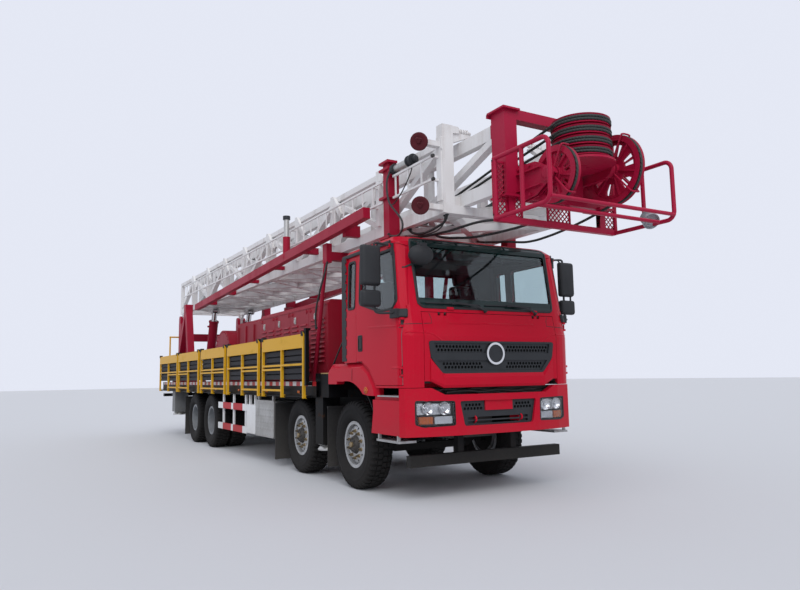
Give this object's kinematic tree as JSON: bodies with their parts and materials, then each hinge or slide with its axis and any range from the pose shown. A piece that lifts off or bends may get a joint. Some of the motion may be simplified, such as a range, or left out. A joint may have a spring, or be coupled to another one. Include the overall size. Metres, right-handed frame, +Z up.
{
  "type": "workover rig",
  "caption": "Truck-mounted workover rig: four-axle cab-over truck with deck, engine housing, drawworks, two-section lattice mast lying over the cab, crown block, jacks and folding walkways.",
  "frame": {"origin": "on the ground under the middle of the bounding box", "axes": "+X forward, +Y to the left, +Z up"},
  "size_m": [15.26, 3.24, 4.24],
  "materials": {
    "chassis_black": "satin black chassis paint",
    "rubber_tyre": "black tyre rubber",
    "rim_silver": "silver wheel paint",
    "rim_grey": "grey wheel paint",
    "iron": "engine casting",
    "bright_steel": "bright steel",
    "flap_rubber": "black rubber",
    "cab_red": "glossy red cab paint",
    "lamp_clear": "clear lamp glass",
    "window_glass": "tinted window glass",
    "black_plastic": "grained black plastic",
    "interior_grey": "grey cab trim",
    "rig_crimson": "satin crimson rig paint",
    "mast_white": "white mast paint",
    "walk_yellow": "yellow safety paint"
  },
  "bodies": {
    "chassis": {"frame_rails": "chassis_black", "front_axles": "chassis_black", "drive_axles": "chassis_black", "truck_engine": "iron", "side_gear": "bright_steel", "mudguards": "flap_rubber", "deck": "chassis_black", "cab_shell": "cab_red", "bumper": "cab_red", "headlamps": "lamp_clear", "fenders": "cab_red", "cab_glass": "window_glass", "cab_interior": "interior_grey", "engine_housing": "rig_crimson", "drawworks": "rig_crimson", "mast_supports": "rig_crimson"},
    "front_flap": {"front_flap": "cab_red"},
    "mast": {"mast_lower": "mast_white", "side_beam": "rig_crimson"},
    "mast_top": {"mast_upper": "mast_white", "crown": "rig_crimson"},
    "crown_sheaves": {"crown_sheaves": "rig_crimson"},
    "fast_sheave": {"fast_sheave": "rig_crimson"},
    "guide_sheave": {"guide_sheave": "rig_crimson"},
    "raising_barrels": {"raising_barrels": "rig_crimson"},
    "raising_stages": {"raising_stages": "bright_steel"},
    "raising_rods": {"raising_rods": "bright_steel"},
    "door_r": {"door_r": "cab_red", "door_glass_r": "window_glass", "mirrors_r": "black_plastic"},
    "walkways_r": {"walkways_r": "walk_yellow"},
    "knuckle_1r": {"knuckle_1r": "chassis_black"},
    "wheel_1r": {"tyre_1r": "rubber_tyre", "rim_1r": "rim_silver"},
    "knuckle_2r": {"knuckle_2r": "chassis_black"},
    "wheel_2r": {"tyre_2r": "rubber_tyre", "rim_2r": "rim_silver"},
    "wheels_3r": {"tyres_3r": "rubber_tyre", "rims_3r": "rim_grey"},
    "wheels_4r": {"tyres_4r": "rubber_tyre", "rims_4r": "rim_grey"},
    "jack_front_r": {"jack_front_r": "bright_steel"},
    "jack_rear_r": {"jack_rear_r": "bright_steel"},
    "door_l": {"door_l": "cab_red", "door_glass_l": "window_glass", "mirrors_l": "black_plastic"},
    "walkways_l": {"walkways_l": "walk_yellow"},
    "knuckle_1l": {"knuckle_1l": "chassis_black"},
    "wheel_1l": {"tyre_1l": "rubber_tyre", "rim_1l": "rim_silver"},
    "knuckle_2l": {"knuckle_2l": "chassis_black"},
    "wheel_2l": {"tyre_2l": "rubber_tyre", "rim_2l": "rim_silver"},
    "wheels_3l": {"tyres_3l": "rubber_tyre", "rims_3l": "rim_grey"},
    "wheels_4l": {"tyres_4l": "rubber_tyre", "rims_4l": "rim_grey"},
    "jack_front_l": {"jack_front_l": "bright_steel"},
    "jack_rear_l": {"jack_rear_l": "bright_steel"}
  },
  "joints": [
    {"name": "steer_1r", "type": "hinge", "parent": "chassis", "child": "knuckle_1r", "pos_m": [4.17, -0.82, 0.55], "axis": [0, 0, 1], "range_deg": [-35, 35]},
    {"name": "spin_1r", "type": "hinge", "parent": "knuckle_1r", "child": "wheel_1r", "pos_m": [4.17, -1.018, 0.55], "axis": [0, 1, 0], "continuous": true},
    {"name": "steer_1l", "type": "hinge", "parent": "chassis", "child": "knuckle_1l", "pos_m": [4.17, 0.82, 0.55], "axis": [0, 0, 1], "range_deg": [-35, 35]},
    {"name": "spin_1l", "type": "hinge", "parent": "knuckle_1l", "child": "wheel_1l", "pos_m": [4.17, 1.018, 0.55], "axis": [0, 1, 0], "continuous": true},
    {"name": "steer_2r", "type": "hinge", "parent": "chassis", "child": "knuckle_2r", "pos_m": [2.37, -0.82, 0.55], "axis": [0, 0, 1], "range_deg": [-22.75, 22.75]},
    {"name": "spin_2r", "type": "hinge", "parent": "knuckle_2r", "child": "wheel_2r", "pos_m": [2.37, -1.018, 0.55], "axis": [0, 1, 0], "continuous": true},
    {"name": "steer_2l", "type": "hinge", "parent": "chassis", "child": "knuckle_2l", "pos_m": [2.37, 0.82, 0.55], "axis": [0, 0, 1], "range_deg": [-22.75, 22.75]},
    {"name": "spin_2l", "type": "hinge", "parent": "knuckle_2l", "child": "wheel_2l", "pos_m": [2.37, 1.018, 0.55], "axis": [0, 1, 0], "continuous": true},
    {"name": "spin_3r", "type": "hinge", "parent": "chassis", "child": "wheels_3r", "pos_m": [-2.43, -0.93, 0.55], "axis": [0, 1, 0], "continuous": true},
    {"name": "spin_3l", "type": "hinge", "parent": "chassis", "child": "wheels_3l", "pos_m": [-2.43, 0.93, 0.55], "axis": [0, 1, 0], "continuous": true},
    {"name": "spin_4r", "type": "hinge", "parent": "chassis", "child": "wheels_4r", "pos_m": [-3.83, -0.93, 0.55], "axis": [0, 1, 0], "continuous": true},
    {"name": "spin_4l", "type": "hinge", "parent": "chassis", "child": "wheels_4l", "pos_m": [-3.83, 0.93, 0.55], "axis": [0, 1, 0], "continuous": true},
    {"name": "door_hinge_r", "type": "hinge", "parent": "chassis", "child": "door_r", "pos_m": [5.526, -1.229, 1.7], "axis": [0, 0, 1], "range_deg": [0, 70]},
    {"name": "door_hinge_l", "type": "hinge", "parent": "chassis", "child": "door_l", "pos_m": [5.526, 1.229, 1.7], "axis": [0, 0, -1], "range_deg": [0, 70]},
    {"name": "flap_hinge", "type": "hinge", "parent": "chassis", "child": "front_flap", "pos_m": [5.578, 0, 2.112], "axis": [0, -1, 0], "range_deg": [0, 70]},
    {"name": "mast_hinge", "type": "hinge", "parent": "chassis", "child": "mast", "pos_m": [-7.13, 0, 3.05], "axis": [0, -1, 0], "range_deg": [0, 90]},
    {"name": "mast_slide", "type": "slide", "parent": "mast", "child": "mast_top", "axis": [1, 0, 0], "range_m": [0, 8]},
    {"name": "ram_swing", "type": "hinge", "parent": "chassis", "child": "raising_barrels", "pos_m": [-5.73, 0, 1.6], "axis": [0, -1, 0], "range_deg": [0, 41.94]},
    {"name": "ram_stage", "type": "slide", "parent": "raising_barrels", "child": "raising_stages", "axis": [0.3106, 0, 0.9505], "range_m": [0, 1.0269]},
    {"name": "ram_rod", "type": "slide", "parent": "raising_stages", "child": "raising_rods", "axis": [0.3106, 0, 0.9505], "range_m": [0, 1.0269]},
    {"name": "block_spin", "type": "hinge", "parent": "mast_top", "child": "crown_sheaves", "pos_m": [7.19, 0, 3.54], "axis": [0, 0, 1], "continuous": true},
    {"name": "fast_spin", "type": "hinge", "parent": "mast_top", "child": "fast_sheave", "pos_m": [7.2, 0.45, 3.52], "axis": [0, 1, 0], "continuous": true},
    {"name": "guide_spin", "type": "hinge", "parent": "mast_top", "child": "guide_sheave", "pos_m": [7.29, -0.45, 3.33], "axis": [0, 1, 0], "continuous": true},
    {"name": "walk_hinge_r", "type": "hinge", "parent": "chassis", "child": "walkways_r", "pos_m": [0, -1.3, 1.13], "axis": [1, 0, 0], "range_deg": [0, 90]},
    {"name": "walk_hinge_l", "type": "hinge", "parent": "chassis", "child": "walkways_l", "pos_m": [0, 1.3, 1.13], "axis": [-1, 0, 0], "range_deg": [0, 90]},
    {"name": "jack_slide_front_r", "type": "slide", "parent": "chassis", "child": "jack_front_r", "axis": [0, 0, -1], "range_m": [0, 0.4]},
    {"name": "jack_slide_front_l", "type": "slide", "parent": "chassis", "child": "jack_front_l", "axis": [0, 0, -1], "range_m": [0, 0.4]},
    {"name": "jack_slide_rear_r", "type": "slide", "parent": "chassis", "child": "jack_rear_r", "axis": [0, 0, -1], "range_m": [0, 0.52]},
    {"name": "jack_slide_rear_l", "type": "slide", "parent": "chassis", "child": "jack_rear_l", "axis": [0, 0, -1], "range_m": [0, 0.52]}
  ],
  "couplings": [
    {"joint": "steer_1l", "follows": "steer_1r", "ratio": 1},
    {"joint": "steer_2r", "follows": "steer_1r", "ratio": 0.65},
    {"joint": "steer_2l", "follows": "steer_1r", "ratio": 0.65},
    {"joint": "ram_swing", "follows": "mast_hinge", "ratio": 0.46592},
    {"joint": "ram_stage", "follows": "mast_hinge", "m_per_rad": 0.65341},
    {"joint": "ram_rod", "follows": "mast_hinge", "m_per_rad": 0.65341}
  ]
}
